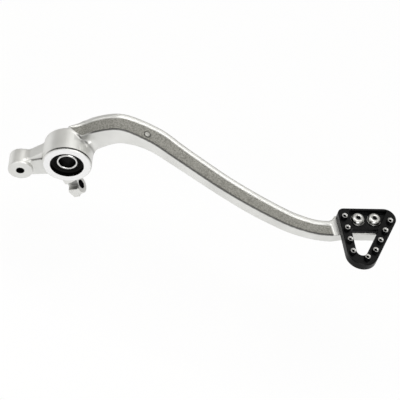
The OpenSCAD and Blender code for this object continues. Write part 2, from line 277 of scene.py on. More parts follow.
# a + factor x (b - a); a and b are sockets or colours
def mixColour(tree, factor, a, b):
    new = addNode(tree, "ShaderNodeMix", data_type="RGBA")
    for slot, value in ((0, factor), (6, a), (7, b)):
        if isinstance(value, bpy.types.NodeSocket):
            tree.links.new(value, new.inputs[slot])
        else:
            new.inputs[slot].default_value = value
    return new.outputs[2]


def mapRange(tree, source, low, high, toLow, toHigh):
    new = addNode(tree, "ShaderNodeMapRange", links={"Value": source})
    for key, value in (("From Min", low), ("From Max", high), ("To Min", toLow), ("To Max", toHigh)):
        new.inputs[key].default_value = value
    return new.outputs[0]


forging = {
    "skin": "#E3E3E0", "skinShade": "#D6D6D3", "cast": "#A9A8A2", "castSpeck": "#8A8983",
    # line is the colour of the painted shade in creases, corners and recesses
    "line": "#262523", "machined": "#F2F2F2",
    "grainMm": 0.8,       # blast grain is nearer 0.2 mm; drawn coarser so that it shows
    "speckMm": 1.1,       # as-forged grit in the channel
    "cloudMm": 22.0, "cloudSpan": (0.35, 0.65), "speckSpan": (0.42, 0.6),
    "skinRough": 0.42, "castRough": 0.72, "skinBump": 0.10, "castBump": 0.55,
    "bumpMm": 0.12, "metallic": 0.85,
}


# Blasted aluminium forging: a soft bright skin, a dark gritty channel left as forged, bright cut faces, and
# painted shade as thin dark lines in creases, corners and recesses
def forgedAluminium(f):
    mat, tree, shader = newMaterial("satin_forged_aluminium")
    coords = objectCoords(tree)
    grain = addNode(tree, "ShaderNodeTexNoise", {"Scale": 1 / (f["grainMm"] * mm), "Detail": 2.0},
                    {"Vector": coords})
    speck = addNode(tree, "ShaderNodeTexNoise", {"Scale": 1 / (f["speckMm"] * mm), "Detail": 3.0,
                                                 "Roughness": 0.65}, {"Vector": coords})
    cloud = addNode(tree, "ShaderNodeTexNoise", {"Scale": 1 / (f["cloudMm"] * mm), "Detail": 2.0},
                    {"Vector": coords})
    castMask = addNode(tree, "ShaderNodeAttribute", attribute_name="castMask").outputs["Fac"]
    paintedShadeMask = addNode(tree, "ShaderNodeAttribute", attribute_name="paintedShadeMask").outputs["Fac"]
    cutMask = addNode(tree, "ShaderNodeAttribute", attribute_name="cutMask").outputs["Fac"]
    skin = mixColour(tree, mapRange(tree, cloud.outputs["Fac"], *f["cloudSpan"], 0, 1),
                     linearColour(f["skin"]), linearColour(f["skinShade"]))
    cast = mixColour(tree, mapRange(tree, speck.outputs["Fac"], *f["speckSpan"], 0, 1),
                     linearColour(f["cast"]), linearColour(f["castSpeck"]))
    colour = mixColour(tree, castMask, skin, cast)
    colour = mixColour(tree, cutMask, colour, linearColour(f["machined"]))
    # painted shade: the dark line colour laid over creases, corners, the undercut, the notch and the lug's
    # recess
    colour = mixColour(tree, paintedShadeMask, colour, linearColour(f["line"]))
    tree.links.new(colour, shader.inputs["Base Color"])
    rough = mapRange(tree, castMask, 0, 1, f["skinRough"], f["castRough"])
    tree.links.new(rough, shader.inputs["Roughness"])
    shader.inputs["Metallic"].default_value = f["metallic"]
    depth = mapRange(tree, castMask, 0, 1, f["skinBump"], f["castBump"])
    height = mixColour(tree, castMask, grain.outputs["Fac"], speck.outputs["Fac"])
    bump = addNode(tree, "ShaderNodeBump", {"Distance": f["bumpMm"] * mm},
                   {"Height": height, "Strength": depth})
    tree.links.new(bump.outputs[0], shader.inputs["Normal"])
    return mat


# A plain finish whose colour and gloss drift a little along its grain
def metalFinish(name, colour, shadeColour, roughness, grainMm, stretch=(1, 1, 1), bumpMm=0.01,
                metallic=1.0, sheen=0.5):
    mat, tree, shader = newMaterial(name)
    coords = addNode(tree, "ShaderNodeMapping", {"Scale": stretch}, {"Vector": objectCoords(tree)})
    grain = addNode(tree, "ShaderNodeTexNoise", {"Scale": 1 / (grainMm * mm), "Detail": 3.0},
                    {"Vector": coords.outputs[0]})
    colourOut = mixColour(tree, mapRange(tree, grain.outputs["Fac"], 0.35, 0.65, 0, 1),
                          linearColour(colour), linearColour(shadeColour))
    tree.links.new(colourOut, shader.inputs["Base Color"])
    rough = mapRange(tree, grain.outputs["Fac"], 0.3, 0.7, roughness * 0.85, roughness * 1.2)
    tree.links.new(rough, shader.inputs["Roughness"])
    shader.inputs["Metallic"].default_value = metallic
    shader.inputs["Specular IOR Level"].default_value = sheen
    bump = addNode(tree, "ShaderNodeBump", {"Distance": bumpMm * mm, "Strength": 0.4},
                   {"Height": grain.outputs["Fac"]})
    tree.links.new(bump.outputs[0], shader.inputs["Normal"])
    return mat


satinForging = forgedAluminium(forging)
# Ground steel: bright, with fine rings from grinding round the pivot axis
groundSteel = metalFinish("ground_steel", "#E2E2E0", "#CFCFCD", 0.22, 0.6, (1, 0.2, 1), 0.004)
# Bearing steel: grey and smooth, only seen down the bore
bearingSteel = metalFinish("bearing_steel", "#9C9EA2", "#85878B", 0.3, 0.9)
# Zinc plated steel: pale with a slight bloom
zincSteel = metalFinish("zinc_plated_steel", "#D4D4D1", "#B9B9B6", 0.24, 1.2)
# Plain turned steel of the grip pins, oiled: bright crowns, with painted shade on the flanks
pinSteel = metalFinish("oiled_turned_steel", "#E9E9E7", "#C4C4C2", 0.3, 0.7)
# Black anodised aluminium: deep black, satin, with a grey sheen at the edges
blackAnodise = metalFinish("black_anodised_aluminium", "#050506", "#0A0A0B", 0.26, 0.9, bumpMm=0.006,
                           metallic=0.0, sheen=0.14)
# Painted shade on the pins' flanks and in the sockets of the fasteners: near-black dull steel, so only an
# edge catches light
paintedShadeSteel = metalFinish("painted_shade_steel", "#202021", "#141415", 0.45, 0.7)
# Painted shade down bores: near-black steel that keeps only a faint streak of light
paintedShadeBore = metalFinish("painted_shade_bore", "#343435", "#262627", 0.36, 0.9, bumpMm=0.006)
# Nitrile rubber: matte near-black with a faint moulded grain
nitrileRubber = metalFinish("nitrile_rubber", "#030303", "#070707", 0.6, 1.0, bumpMm=0.02, metallic=0.0,
                            sheen=0.14)
print("stage: materials made")


# Forging: distance fields of the arm, boss, ear and lug, blended with fillets and turned into one skin

arm = {
    # foot of the outer top edge as x, y, z, then width and thickness, all in mm
    "stations": np.array([
        (-4.5, 2.0, 16.6, 10.0, 4.0), (-1.5, 2.0, 17.2, 11.6, 4.5), (2.1, 2.0, 18.0, 13.6, 4.9),
        (5.0, 2.0, 19.4, 15.4, 6.4), (6.8, 2.0, 21.0, 15.6, 9.4), (10.5, 2.0, 25.0, 15.6, 15.6),
        (15.5, 2.0, 28.9, 15.6, 20.4), (20.5, 2.0, 32.0, 15.6, 20.6), (25.6, 2.0, 34.3, 15.6, 18.0),
        (31.2, 1.9, 35.2, 15.8, 14.8), (37.0, 1.4, 34.8, 16.0, 12.6), (45.3, -0.1, 33.9, 16.2, 10.2),
        (55.3, -2.9, 32.9, 16.1, 9.0), (67.6, -8.3, 31.5, 15.2, 8.3), (80.0, -13.7, 30.0, 14.8, 7.9),
        (104.6, -24.2, 27.2, 14.4, 7.6), (129.0, -32.8, 24.7, 14.2, 8.0), (153.2, -39.2, 22.4, 13.8, 7.8),
        (165.4, -40.7, 21.3, 13.7, 7.5), (177.1, -40.6, 20.4, 13.5, 7.3), (188.6, -38.6, 20.0, 13.6, 7.6),
        (193.2, -36.8, 20.0, 14.4, 7.6), (197.6, -35.0, 20.0, 18.0, 7.6), (212.0, -31.4, 20.0, 18.0, 7.6),
        (225.1, -28.1, 20.0, 18.0, 7.6),
    ]),
    "edgeRound": 0.7, "farRound": 1.6, "endRound": 4.0, "endTurn": 14.0,
    "grooveDepth": 1.5, "nearLand": 1.7, "farLand": 4.4, "draft": 0.35, "underFillet": 0.6,
    "grooveFrom": -3.6, "grooveTo": 189.6, "rootEnd": 5.5, "rootSlant": 7.0, "rootOpen": 2.4,
    "pip": (49.0, 5.6, 2.3, 0.55),     # x, y, radius and height of the ejector mark in the channel
    "pipEdge": 0.4,
}
boss = {
    "radius": 17.5, "half": 10.0, "rimChamfer": 0.8, "seat": 12.0, "shoulder": 4.0, "bore": 10.5,
    "undercutAt": -9.0, "undercut": 0.35, "undercutHalf": 0.25,
}
ear = {
    "x": -29.62, "z": -19.02, "radius": 8.75, "low": -7.5, "high": 5.5, "hole": 3.0,
    "webFar": 5.3, "webNear": -3.7, "ledgeNear": -4.6, "ledgeTop": 4.5, "webTop": 10.3, "neckTop": 6.75,
    "knee": 15.5, "neckAt": 26.4,      # along the web, from the pivot
    "feet": (14.5, 12.0, 8.15),        # below the web's middle line, at the pivot, the knee and the eye
}
lug = {
    # u runs forward along the tab and v up out of it; edges are (u, v, dv/du), standing ones (v, u, du/dv)
    "x": 15.905, "z": -28.227, "tilt": 41.0, "half": 6.5, "plate": 4.0, "rear": -19.0,
    "hole": 3.3, "holeFrom": -12.0, "holeTo": 8.0,
    "bottomRear": (-3.3, -7.6, -0.30), "bottomFront": (3.3, -8.0, 0.06), "wedgeFront": (-6.0, 4.4, 0.25),
    "heelTop": (-4.5, 0.5, -0.45), "heelFront": -4.4, "wedgeFillet": 1.0, "heelFillet": 1.5,
    "pocketY": -3.0, "pocketRear": -10.6, "pocketTop": (-10.66, 3.96, -0.596),
    "pocketFront": (-6.28, -4.76, 0.444), "pocketFillet": 0.5,
}
skin = {
    "cell": 0.55,          # mm, the grid that the skin is taken from
    "low": (-41.0, -43.0, -41.0), "high": (230.0, 22.0, 39.0), "band": 2.5,
    "bossReach": 62.0,     # x up to which the boss, ear and lug are worked out
    "topFillet": 1.2, "sideFillet": 7.2, "sideFrom": 3.0, "sideTo": 8.0,
    "eyeFillet": 1.2, "webFillet": 1.6, "lugFillet": 1.6, "channelFillet": 0.5,
}
# Where the channel's cast finish lies, and where painted shade darkens creases, corners, the undercut, the
# notch and the lug's recess
castAndShadeMarks = {
    # pairs are the lengths in mm at which a mark is gone and full, and most is a mark's full strength
    "topDepth": (3.0, 2.0), "cast": (0.45, -0.05), "castDepth": (0.5, 1.0), "castOnPip": 0.7,
    "edgeOut": (-0.1, 0.15), "edgeIn": (2.1, 1.8), "edgeDepth": (0.9, 0.5), "edgeFrom": (7, 12),
    "edgeMost": 0.9, "ring": (0.52, 0.12), "ringMost": 0.8,
    "under": 0.45, "underLow": 1.5, "underUp": 0.1, "underHeight": (5.4, 14.4),
    "creaseOver": 0.9, "crease": (1.12, 0.32), "creaseIn": (3.0, 2.2), "creaseOut": (-3.5, -1.5),
    "creaseLow": 5, "creaseNear": -8, "creaseMost": 0.7,
    "notch": (7.2, 1.8, 3.2, 1.2),     # x, y and half sizes of the painted shade patch in the notch at the arm's root
    "notchFade": (1.4, 0.4), "notchLow": 14, "notchMost": 0.55,
    "stepOver": 0.3, "step": (0.63, 0.18), "stepFrom": 17, "stepTo": 25.5, "stepMost": 0.8,
    "recessY": (-6.2, -2.7), "recessU": (-10.8, -2.0), "recessV": (-7.5, 4.2), "recessDark": (0.1, 0.6),
}


# Union with a fillet of about k: min(a, b) - h squared x k / 4, where h = max(k - |a - b|, 0) / k
def smoothMin(a, b, k):
    h = np.maximum(k - np.abs(a - b), 0) / k
    return np.minimum(a, b) - h * h * k * 0.25


def smoothMax(a, b, k):
    return -smoothMin(-a, -b, k)


# 0 up to start, 1 from stop on, and straight between them; stop may lie below start
def ramp(v, start, stop):
    return np.clip((v - start) / (stop - start), 0, 1)


# Both distances at once, with the corner between them rounded to the radius r
def roundedCorner(a, b, r):
    return np.hypot(np.maximum(a + r, 0), np.maximum(b + r, 0)) + np.minimum(np.maximum(a, b) + r, 0) - r


# Cubic through the stations: Hermite steps, with each slope taken across its two neighbours
def stationCurve(table, s):
    x = table[:, 0]
    values = table[:, 1:]
    before = np.maximum(np.arange(len(x)) - 1, 0)
    after = np.minimum(np.arange(len(x)) + 1, len(x) - 1)
    slope = (values[after] - values[before]) / (x[after] - x[before])[:, None]
    s = np.clip(s, x[0], x[-1])
    i = np.clip(np.searchsorted(x, s, side="right") - 1, 0, len(x) - 2)
    run = x[i + 1] - x[i]
    f = (s - x[i]) / run
    f = f[..., None]
    run = run[..., None]
    return (values[i] * (1 - 3 * f**2 + 2 * f**3) + values[i + 1] * (3 * f**2 - 2 * f**3)
            + run * (slope[i] * (f - 2 * f**2 + f**3) + slope[i + 1] * (f**3 - f**2)))


# For points of the plan view: the station s and the distance t in from the outer edge, found by stepping
# s = x + t sin(heading), t = (y - edge) / cos(heading), and the section's sizes there
def armPlan(a, x, y):
    fine = np.linspace(a["stations"][0, 0], a["stations"][-1, 0], 1200)
    rows = stationCurve(a["stations"], fine)
    heading = np.arctan(np.gradient(rows[:, 0], fine))
    rise = np.gradient(rows[:, 1], fine)
    s = x.copy()
    for _ in range(6):
        turn = np.interp(s, fine, heading)
        t = (y - np.interp(s, fine, rows[:, 0])) / np.cos(turn)
        s = x + t * np.sin(turn)
    out = {"s": s, "t": t, "steep": 1 / np.sqrt(1 + np.interp(s, fine, rise) ** 2)}
    for key, column in (("top", 1), ("width", 2), ("thick", 3)):
        out[key] = np.interp(s, fine, rows[:, column])
    return out


# Signed distances, in mm, of the forging at the points, and how far they lie in the channel
def forgingFields(a, x, y, z):
    plan = armPlan(a, x, y)
    s, t, w = plan["s"], plan["t"], plan["width"]
    last = a["stations"][-1, 0]
    side = np.abs(t - w / 2) - w / 2
    end = (s - last) * math.cos(math.radians(a["endTurn"]))
    outline = roundedCorner(side, end, a["endRound"])
    root = ramp(s, a["rootEnd"], a["grooveFrom"])
    outline = np.maximum(outline, np.maximum(a["stations"][0, 0] - s, root * a["rootSlant"] - t))
    middle = plan["top"] - plan["thick"] / 2
    upright = (np.abs(z - middle) - plan["thick"] / 2) * plan["steep"]
    body = roundedCorner(outline, upright, np.where(t > w / 2, a["farRound"], a["edgeRound"]))
    depth = (plan["top"] - z) * plan["steep"]           # below the top face
    depthUnder = (z - (plan["top"] - plan["thick"])) * plan["steep"]
    nearLand = a["nearLand"] + root * a["rootSlant"]
    farLand = a["farLand"] - root * a["rootOpen"]
    groovePlan = np.maximum(np.maximum(nearLand - t, t - (w - farLand)),
                            np.maximum(a["grooveFrom"] - s, s - a["grooveTo"]))
    pipX, pipY, pipR, pipH = a["pip"]
    pip = ramp(np.hypot(x - pipX, y - pipY), pipR, pipR - a["pipEdge"]) * pipH
    grooves = []
    for d, extra in ((depth, pip), (depthUnder, 0)):
        wall = groovePlan - a["draft"] * (a["grooveDepth"] / 2 - d)
        grooves.append(np.maximum(wall, d - a["grooveDepth"] + extra))
    body = smoothMax(body, -grooves[1], a["underFillet"])
    return {"body": body, "groove": grooves[0], "groovePlan": groovePlan, "depth": depth, "t": t, "s": s}


# Drum along Y with a chamfered rim
def bossField(b, x, y, z):
    r = np.hypot(x, z)
    drum = np.maximum(r - b["radius"], np.abs(y) - b["half"])
    rim = (r - b["radius"] + np.abs(y) - b["half"] + b["rimChamfer"]) * math.sqrt(0.5)
    return np.maximum(drum, rim)


# Distances along the line from the pivot to the eye and up from it, and the line's length
def earAxes(e, x, z):
    length = math.hypot(e["x"], e["z"])
    return (x * e["x"] + z * e["z"]) / length, (x * e["z"] - z * e["x"]) / length, length


# Eye of the pushrod and its web, a tapered bar between two circles with a stepped outer side
def earField(e, x, y, z):
    eye = np.maximum(np.hypot(x - e["x"], z - e["z"]) - e["radius"],
                     np.maximum(e["low"] - y, y - e["high"]))
    along, across, length = earAxes(e, x, z)
    top = np.interp(along, [e["knee"], e["neckAt"]], [e["webTop"], e["neckTop"]])
    foot = np.interp(along, [0, e["knee"], length], e["feet"])
    sides = np.maximum(np.maximum(-along, along - length), -across - foot)
    sides = np.maximum(sides, y - e["webFar"])
    web = np.maximum(sides, np.maximum(across - top, e["webNear"] - y))
    ledge = np.maximum(sides, np.maximum(across - e["ledgeTop"], e["ledgeNear"] - y))
    return eye, np.minimum(web, ledge)


# Height of a straight edge, given by a point and a slope, over u
def edgeAt(edge, u):
    return edge[1] + edge[2] * (u - edge[0])


# Drilled tab below the boss: a round-ended plate with a wedge under it, recessed on its outer side
def lugField(g, x, y, z):
    u, v = turned(x - g["x"], z - g["z"], g["tilt"])
    side = np.abs(y) - g["half"]
    roundEnd = np.where(u > 0, np.hypot(u, y) - g["half"], side)
    tab = np.maximum(roundEnd, np.maximum(v, -g["plate"] - v))
    bottom = np.where(u < g["bottomRear"][0], edgeAt(g["bottomRear"], u), edgeAt(g["bottomFront"], u))
    wedge = np.maximum(side, np.maximum(bottom - v, v + g["plate"] - 0.1))
    wedge = np.maximum(wedge, u - edgeAt(g["wedgeFront"], v))
    heel = np.maximum(side, np.maximum(-v - 0.2, v - edgeAt(g["heelTop"], u)))
    heel = np.maximum(heel, u - g["heelFront"])
    body = smoothMin(smoothMin(tab, wedge, g["wedgeFillet"]), heel, g["heelFillet"])
    body = np.maximum(body, g["rear"] - u)
    pocket = np.maximum(y - g["pocketY"], g["pocketRear"] - u)
    pocket = np.maximum(pocket, (v - edgeAt(g["pocketTop"], u)) / math.hypot(1, g["pocketTop"][2]))
    pocket = np.maximum(pocket, (u - edgeAt(g["pocketFront"], v)) / math.hypot(1, g["pocketFront"][2]))
    return smoothMax(body, -pocket, g["pocketFillet"])


# Fields on a grid of cells, blended, and the zero surface taken out as quads
def forgingSkin(name, k):
    low = np.array(k["low"])
    counts = np.ceil((np.array(k["high"]) - low) / k["cell"]).astype(int) + 1
    axes = [(low[i] + np.arange(counts[i]) * k["cell"]).astype(np.float32) for i in range(3)]
    x, y, z = np.meshgrid(*axes, indexing="ij", sparse=True)
    planX, planY = np.broadcast_arrays(x, y)
    parts = forgingFields(arm, planX.copy(), planY.copy(), z)
    field = parts["body"].astype(np.float32)
    near = slice(0, int(np.searchsorted(axes[0], k["bossReach"])))
    x = x[near]
    below = ramp(parts["depth"][near], k["sideFrom"], k["sideTo"])
    fillet = k["topFillet"] + (k["sideFillet"] - k["topFillet"]) * below
    block = smoothMin(field[near], bossField(boss, x, y, z), fillet)
    eye, web = earField(ear, x, y, z)
    block = smoothMin(block, smoothMin(eye, web, k["eyeFillet"]), k["webFillet"])
    field[near] = smoothMin(block, lugField(lug, x, y, z), k["lugFillet"])
    field = smoothMax(field, -parts["groove"].astype(np.float32), k["channelFillet"])
    grid = openvdb.FloatGrid(float(field.max()))
    grid.copyFromArray(np.clip(field, -k["band"], k["band"]))
    points, quads = grid.convertToQuads(isovalue=0.0)
    return outward(meshFrom(name, points * k["cell"] + low, quads))


# Profile of a cylinder, closed near the axis
def rod(radius, low, high):
    return [(0.001, low), (radius, low), (radius, high), (0.001, high)]


# A cylinder along Y as a cutter, turned about Z and then laid down
def rodCutter(radius, low, high, at=(0, 0)):
    piece = layDown(turnedSurface("cutter", rod(radius, low, high), 128))
    return place(piece, Matrix.Translation((at[0] * mm, 0, at[1] * mm)))


# Painted shade: dark lines in the corner along the channel's near edge and round the rim of the ejector
# mark
def channelPaintedShade(m, a, parts, fromPip):
    t, s = parts["t"], parts["s"]
    edge = ramp(t, *m["edgeOut"]) * ramp(t, *m["edgeIn"]) * (s < a["grooveTo"])
    edge = edge * ramp(parts["depth"], *m["edgeDepth"]) * np.minimum(ramp(s, *m["edgeFrom"]), m["edgeMost"])
    ring = np.minimum(ramp(np.abs(fromPip - a["pip"][2]), *m["ring"]), m["ringMost"])
    return np.maximum(edge, ring)


# Painted shade in the undercut behind the drum's face, in the crease where the arm leaves the drum, and in
# the notch above it
def bossPaintedShade(m, b, t, x, y, z):
    over = np.hypot(x, z) - b["radius"]
    under = (np.abs(y - b["undercutAt"]) < m["under"]) & (over > -m["underLow"]) & (over < m["underUp"])
    under = under * ramp(z, *m["underHeight"])
    crease = ramp(np.abs(over - m["creaseOver"]), *m["crease"]) * ramp(t, *m["creaseIn"])
    crease = crease * ramp(t, *m["creaseOut"]) * (z > m["creaseLow"]) * (x > 0) * (y > m["creaseNear"])
    notchX, notchY, notchWide, notchDeep = m["notch"]
    away = np.hypot((x - notchX) / notchWide, (y - notchY) / notchDeep)
    notch = ramp(away, *m["notchFade"]) * (z > m["notchLow"])
    return np.maximum(under, np.maximum(m["creaseMost"] * crease, m["notchMost"] * notch))


# Painted shade: a dark line along the web's step
def earPaintedShade(m, e, x, y, z):
    along, across, _ = earAxes(e, x, z)
    step = np.minimum(ramp(np.abs(across - e["ledgeTop"] - m["stepOver"]), *m["step"]), m["stepMost"])
    onStep = (along > m["stepFrom"]) & (along < m["stepTo"])
    return step * onStep * (y < e["webNear"] + 0.2) * (y > e["ledgeNear"] - 0.6)


# Recess of the lug, darker towards its top
def lugShade(m, g, x, y, z):
    u, v = turned(x - g["x"], z - g["z"], g["tilt"])
    inside = np.ones(len(x), bool)
    for value, (low, high) in ((y, m["recessY"]), (u, m["recessU"]), (v, m["recessV"])):
        inside &= (value > low) & (value < high)
    return inside * np.clip((v + 7) / 6, *m["recessDark"])


# castMask in the channel, the painted shade mask on the thin dark lines and in the lug's recess, cutMask on
# machined faces
def addMasks(piece, m, a, b):
    co = np.zeros(len(piece.data.vertices) * 3)
    piece.data.vertices.foreach_get("co", co)
    x, y, z = co.reshape(-1, 3).T / mm
    parts = forgingFields(a, x, y, z)
    onTop = ramp(parts["depth"], *m["topDepth"])
    pipX, pipY, pipR, _ = a["pip"]
    fromPip = np.hypot(x - pipX, y - pipY)
    cast = ramp(parts["groovePlan"], *m["cast"]) * onTop * ramp(parts["depth"], *m["castDepth"])
    cast = np.where(fromPip < pipR - 0.3, m["castOnPip"] * cast, cast)
    lines = [channelPaintedShade(m, a, parts, fromPip) * onTop, bossPaintedShade(m, b, parts["t"], x, y, z),
             earPaintedShade(m, ear, x, y, z), lugShade(m, lug, x, y, z)]
    cut = ((y < -b["half"] + 0.05) & (np.hypot(x, z) < b["radius"] - 0.1)) * 1.0
    for key, values in (("castMask", cast), ("paintedShadeMask", np.max(lines, axis=0)), ("cutMask", cut)):
        layer = piece.data.attributes.new(key, "FLOAT", "POINT")
        layer.data.foreach_set("value", values.astype(np.float32))


def makeForging(b):
    piece = forgingSkin("forged_lever", skin)
    depth, out = b["radius"] - b["undercut"], b["radius"] + 0.6
    at, half = b["undercutAt"], b["undercutHalf"]
    rim = [(depth, at - half), (out, at - half - 0.05), (out, at + half + 0.05), (depth, at + half)]
    hole = turnedSurface("cutter", rod(lug["hole"], lug["holeFrom"], lug["holeTo"]), 96)
    place(hole, Matrix.Rotation(math.radians(lug["tilt"]), 4, "Y"))
    cutters = [
        rodCutter(b["seat"], -2 * b["half"], -b["shoulder"]),
        rodCutter(b["seat"], b["shoulder"], 3 * b["half"]),
        rodCutter(b["bore"], -b["shoulder"] - 1, b["shoulder"] + 1),
        rodCutter(ear["hole"], ear["low"] - 1.5, ear["high"] + 1.5, (ear["x"], ear["z"])),
        layDown(turnedSurface("cutter", rim, 192)),
        place(hole, Matrix.Translation((lug["x"] * mm, 0, lug["z"] * mm))),
    ]
    for k in (0, 1):
        tapped = turnedSurface("cutter", rod(plate["tap"], plate["low"] - 8, plate["low"] + 1), 64)
        cutters.append(onPlate(tapped, *screwSpot(k), 0))
    cutAway(piece, cutters)
    addMasks(piece, castAndShadeMarks, arm, b)
    return shade(piece, 38)


# Step plate: flat outline with chamfered rims, a window, a screw pocket and nine tapped holes

plate = {
    "origin": (194.59, -25.50), "turn": 14.0, "low": 20.0, "high": 26.0, "floor": 23.0,
    "rail": 3.5, "back": 8.6, "cornerX": 45.3, "slant": 32.1, "rearR": 5.0, "tipR": 8.0,
    "noseR": 11.4, "noseDrop": 29.6, "chamfer": 0.55,
    "windowBack": -8.8, "windowR": 4.0, "windowLift": 1.1, "windowCorner": 1.2, "windowRim": 0.4,
    "pocketLeft": 5.1, "pocketRight": 29.19, "pocketWall": 2.0,
    "bevelFrom": 5.3, "bevelTo": 23.3, "bevelDown": 1.5, "bevelOut": 1.1,
    "screwX": 10.6, "screwY": -0.1, "screwPitch": 12.1, "screwHole": 2.75, "tap": 2.53,
    "pinPitch": 10.1, "sidePitch": 10.2, "sideStart": (33.0, -3.5), "pinProud": 2.75,
    "lastPinDrop": 0.8, "nosePin": (9.6, -5.8), "pinHole": 2.03, "pinRim": 2.5,
}


# Moves a piece from the plate's own plane, with the first pin at its origin, to the plate's place
def onPlate(piece, px, py, z):
    turn = Matrix.Rotation(math.radians(plate["turn"]), 4, "Z")
    base = Matrix.Translation((plate["origin"][0] * mm, plate["origin"][1] * mm, 0))
    return place(piece, base @ turn @ Matrix.Translation((px * mm, py * mm, z * mm)))


# Place of a plate screw in the plate's own plane, 0 for the rear one and 1 for the front one
def screwSpot(k):
    return plate["screwX"] + k * plate["screwPitch"], plate["screwY"]


# Points (cx + r cos a, cy + r sin a) from start to stop degrees
def arcPoints(cx, cy, r, start, stop, steps):
    a = np.radians(np.linspace(start, stop, steps))
    return np.stack([cx + r * np.cos(a), cy + r * np.sin(a)], -1)


def plateOutline(p):
    n = math.radians(p["slant"])
    tipX = p["cornerX"] - p["tipR"] * (1 + math.sin(n)) / math.cos(n)
    return np.concatenate([
        arcPoints(-p["rail"] + p["rearR"], p["back"] - p["rearR"], p["rearR"], 180, 90, 14),
        arcPoints(tipX, p["back"] - p["tipR"], p["tipR"], 90, -p["slant"], 22),
        arcPoints(p["noseR"] - p["rail"], -p["noseDrop"], p["noseR"], -p["slant"], -180, 44),
    ])


def windowOutline(p):
    n = math.radians(p["slant"])
    lowX, lowY = p["rail"] + p["windowR"], -p["noseDrop"] + p["windowLift"]
    edgeX, edgeY = lowX + p["windowR"] * math.cos(n), lowY - p["windowR"] * math.sin(n)
    backX = edgeX + (p["windowBack"] - edgeY) * math.tan(n)
    r = p["windowCorner"]
    return np.concatenate([
        arcPoints(p["rail"] + r, p["windowBack"] - r, r, 180, 90, 8),
        arcPoints(backX - r * (1 + math.sin(n)) / math.cos(n), p["windowBack"] - r, r, 90, -p["slant"], 8),
        arcPoints(lowX, lowY, p["windowR"], -p["slant"], -180, 24),
    ])


def pocketOutline(p):
    t = math.tan(math.radians(p["slant"]))
    left, right, r = p["pocketLeft"], p["pocketRight"], p["pocketWall"]
    front, back = p["windowBack"] - 1.0, p["back"] - p["pocketWall"]
    return np.concatenate([
        [(left, front)],
        arcPoints(left + r, back - r, r, 180, 90, 8),
        [(right + back * t, back), (right + front * t, front)],
    ])


def makePlate(p):
    c, rim = p["chamfer"], p["windowRim"]
    low, high, floor = p["low"], p["high"], p["floor"]
    piece = solidOutline("step_plate_dressed", plateOutline(p), [
        (-c, low), (0, low + c), (0, high - c), (-c, high)])
    window = solidOutline("cutter", windowOutline(p), [
        (0.5, low - 0.5), (0, low + rim), (0, high - rim), (0.9, high + 0.5)])
    pocket = solidOutline("cutter", pocketOutline(p), [
        (-rim, floor), (0, floor + rim), (0, high - rim), (0.9, high + 0.5)])
    wall, edge = p["windowBack"] - 0.2, floor + 0.1
    section = [(wall, edge - p["bevelDown"] + 0.1), (wall + p["bevelOut"] + 0.2, edge), (wall, edge)]
    ends = [(x, y, z) for x in (p["bevelFrom"], p["bevelTo"]) for y, z in section]
    bevel = meshFrom("cutter", ends, [[0, 1, 4, 3], [1, 2, 5, 4], [2, 0, 3, 5], [0, 2, 1], [3, 4, 5]])
    cutters = [window, pocket, bevel]
    for k in (0, 1):
        hole = turnedSurface("cutter", rod(p["screwHole"], low - 2, high - 1), 64)
        cutters.append(place(hole, Matrix.Translation((*np.array(screwSpot(k)) * mm, 0))))
    pinBore = [(0.001, low - 2), (p["pinHole"], low - 2), (p["pinHole"], high - 0.4),
               (p["pinRim"], high + 0.1), (p["pinRim"], high + 1), (0.001, high + 1)]
    for px, py in pinPlaces(p):
        hole = turnedSurface("cutter", pinBore, 48)
        cutters.append(place(hole, Matrix.Translation((px * mm, py * mm, 0))))
    cutAway(piece, cutters)
    onPlate(piece, 0, 0, 0)
    return shade(piece, 25)


# Four pins down the rear rail, one at the nose, four up the slanted rail, at even pitches
def pinPlaces(p):
    n = math.radians(p["slant"])
    step = np.array([math.sin(n), math.cos(n)]) * p["sidePitch"]
    start = np.array(p["sideStart"])
    rear = [(0, 0), (0, -p["pinPitch"]), (0, -2 * p["pinPitch"]), (0, -p["noseDrop"] - p["lastPinDrop"])]
    nose = (p["nosePin"][0], p["nosePin"][1] - p["noseDrop"])
    return rear + [nose] + [tuple(start - k * step) for k in (3, 2, 1, 0)]


# Fasteners

pin = {
    "r": 2.0, "length": 8.3, "cut": 0.4, "hexHalf": 1.0, "socket": 1.8, "pitch": 0.7, "threadDepth": 0.16,
    "rim": ((0.02, 0.16), (0.06, 0.05), (0.13, 0.0), (0.2, 0.04)),     # in from the flank and down
    "cup": ((0.2, 0.48), (0.0, 0.62)),     # out from the hexagon and down
    "sides": 60,
}
screw = {
    "shank": 2.5, "length": 10.0, "head": 4.75, "height": 2.75, "crown": 2.95, "skirt": 0.35, "domeEnd": 82,
    "hexHalf": 1.5, "socket": 1.6, "cup": ((0.55, 0.0), (0.4, 0.04), (0.0, 0.35)), "sides": 72,
    "washer": 5.0, "washerT": 1.0, "washerHole": 2.65, "washerCut": 0.12, "gap": 0.03,
}


# Set screw: threaded flank, chamfered ends, cup rim round a hexagon socket
def makePin(p, number, spot):
    r, top, c, half = p["r"], p["length"], p["cut"], p["hexHalf"]
    flank = [(r, z) for z in np.arange(c, top - c, p["pitch"] / 6)]
    profile = [(0.001, 0), (r - c, 0)] + flank
    profile += [(r - inward, top - down) for inward, down in p["rim"]]
    profile += [(half + out, top - down) for out, down in p["cup"]]
    profile += [(half, top - p["socket"]), (0.001, top - p["socket"] - 0.35)]
    last = len(profile)
    thread = {"pitch": p["pitch"], "depth": p["threadDepth"], "low": c, "high": top - c,
              "rootOver": r - 0.01}
    piece = turnedSurface("grip_pin_%d_dressed" % number, profile, p["sides"], (last - 3, last - 2), thread)
    finishPiece(piece, pinSteel, "grip_pin_%d" % number, "lever")
    # painted shade on the flank and in the socket
    darkenRows(piece, paintedShadeSteel, p["sides"], 0, len(flank) + 2)
    darkenRows(piece, paintedShadeSteel, p["sides"], last - 3, last)
    base = plate["high"] + plate["pinProud"] - top
    return shade(onPlate(piece, spot[0], spot[1], base), 30)


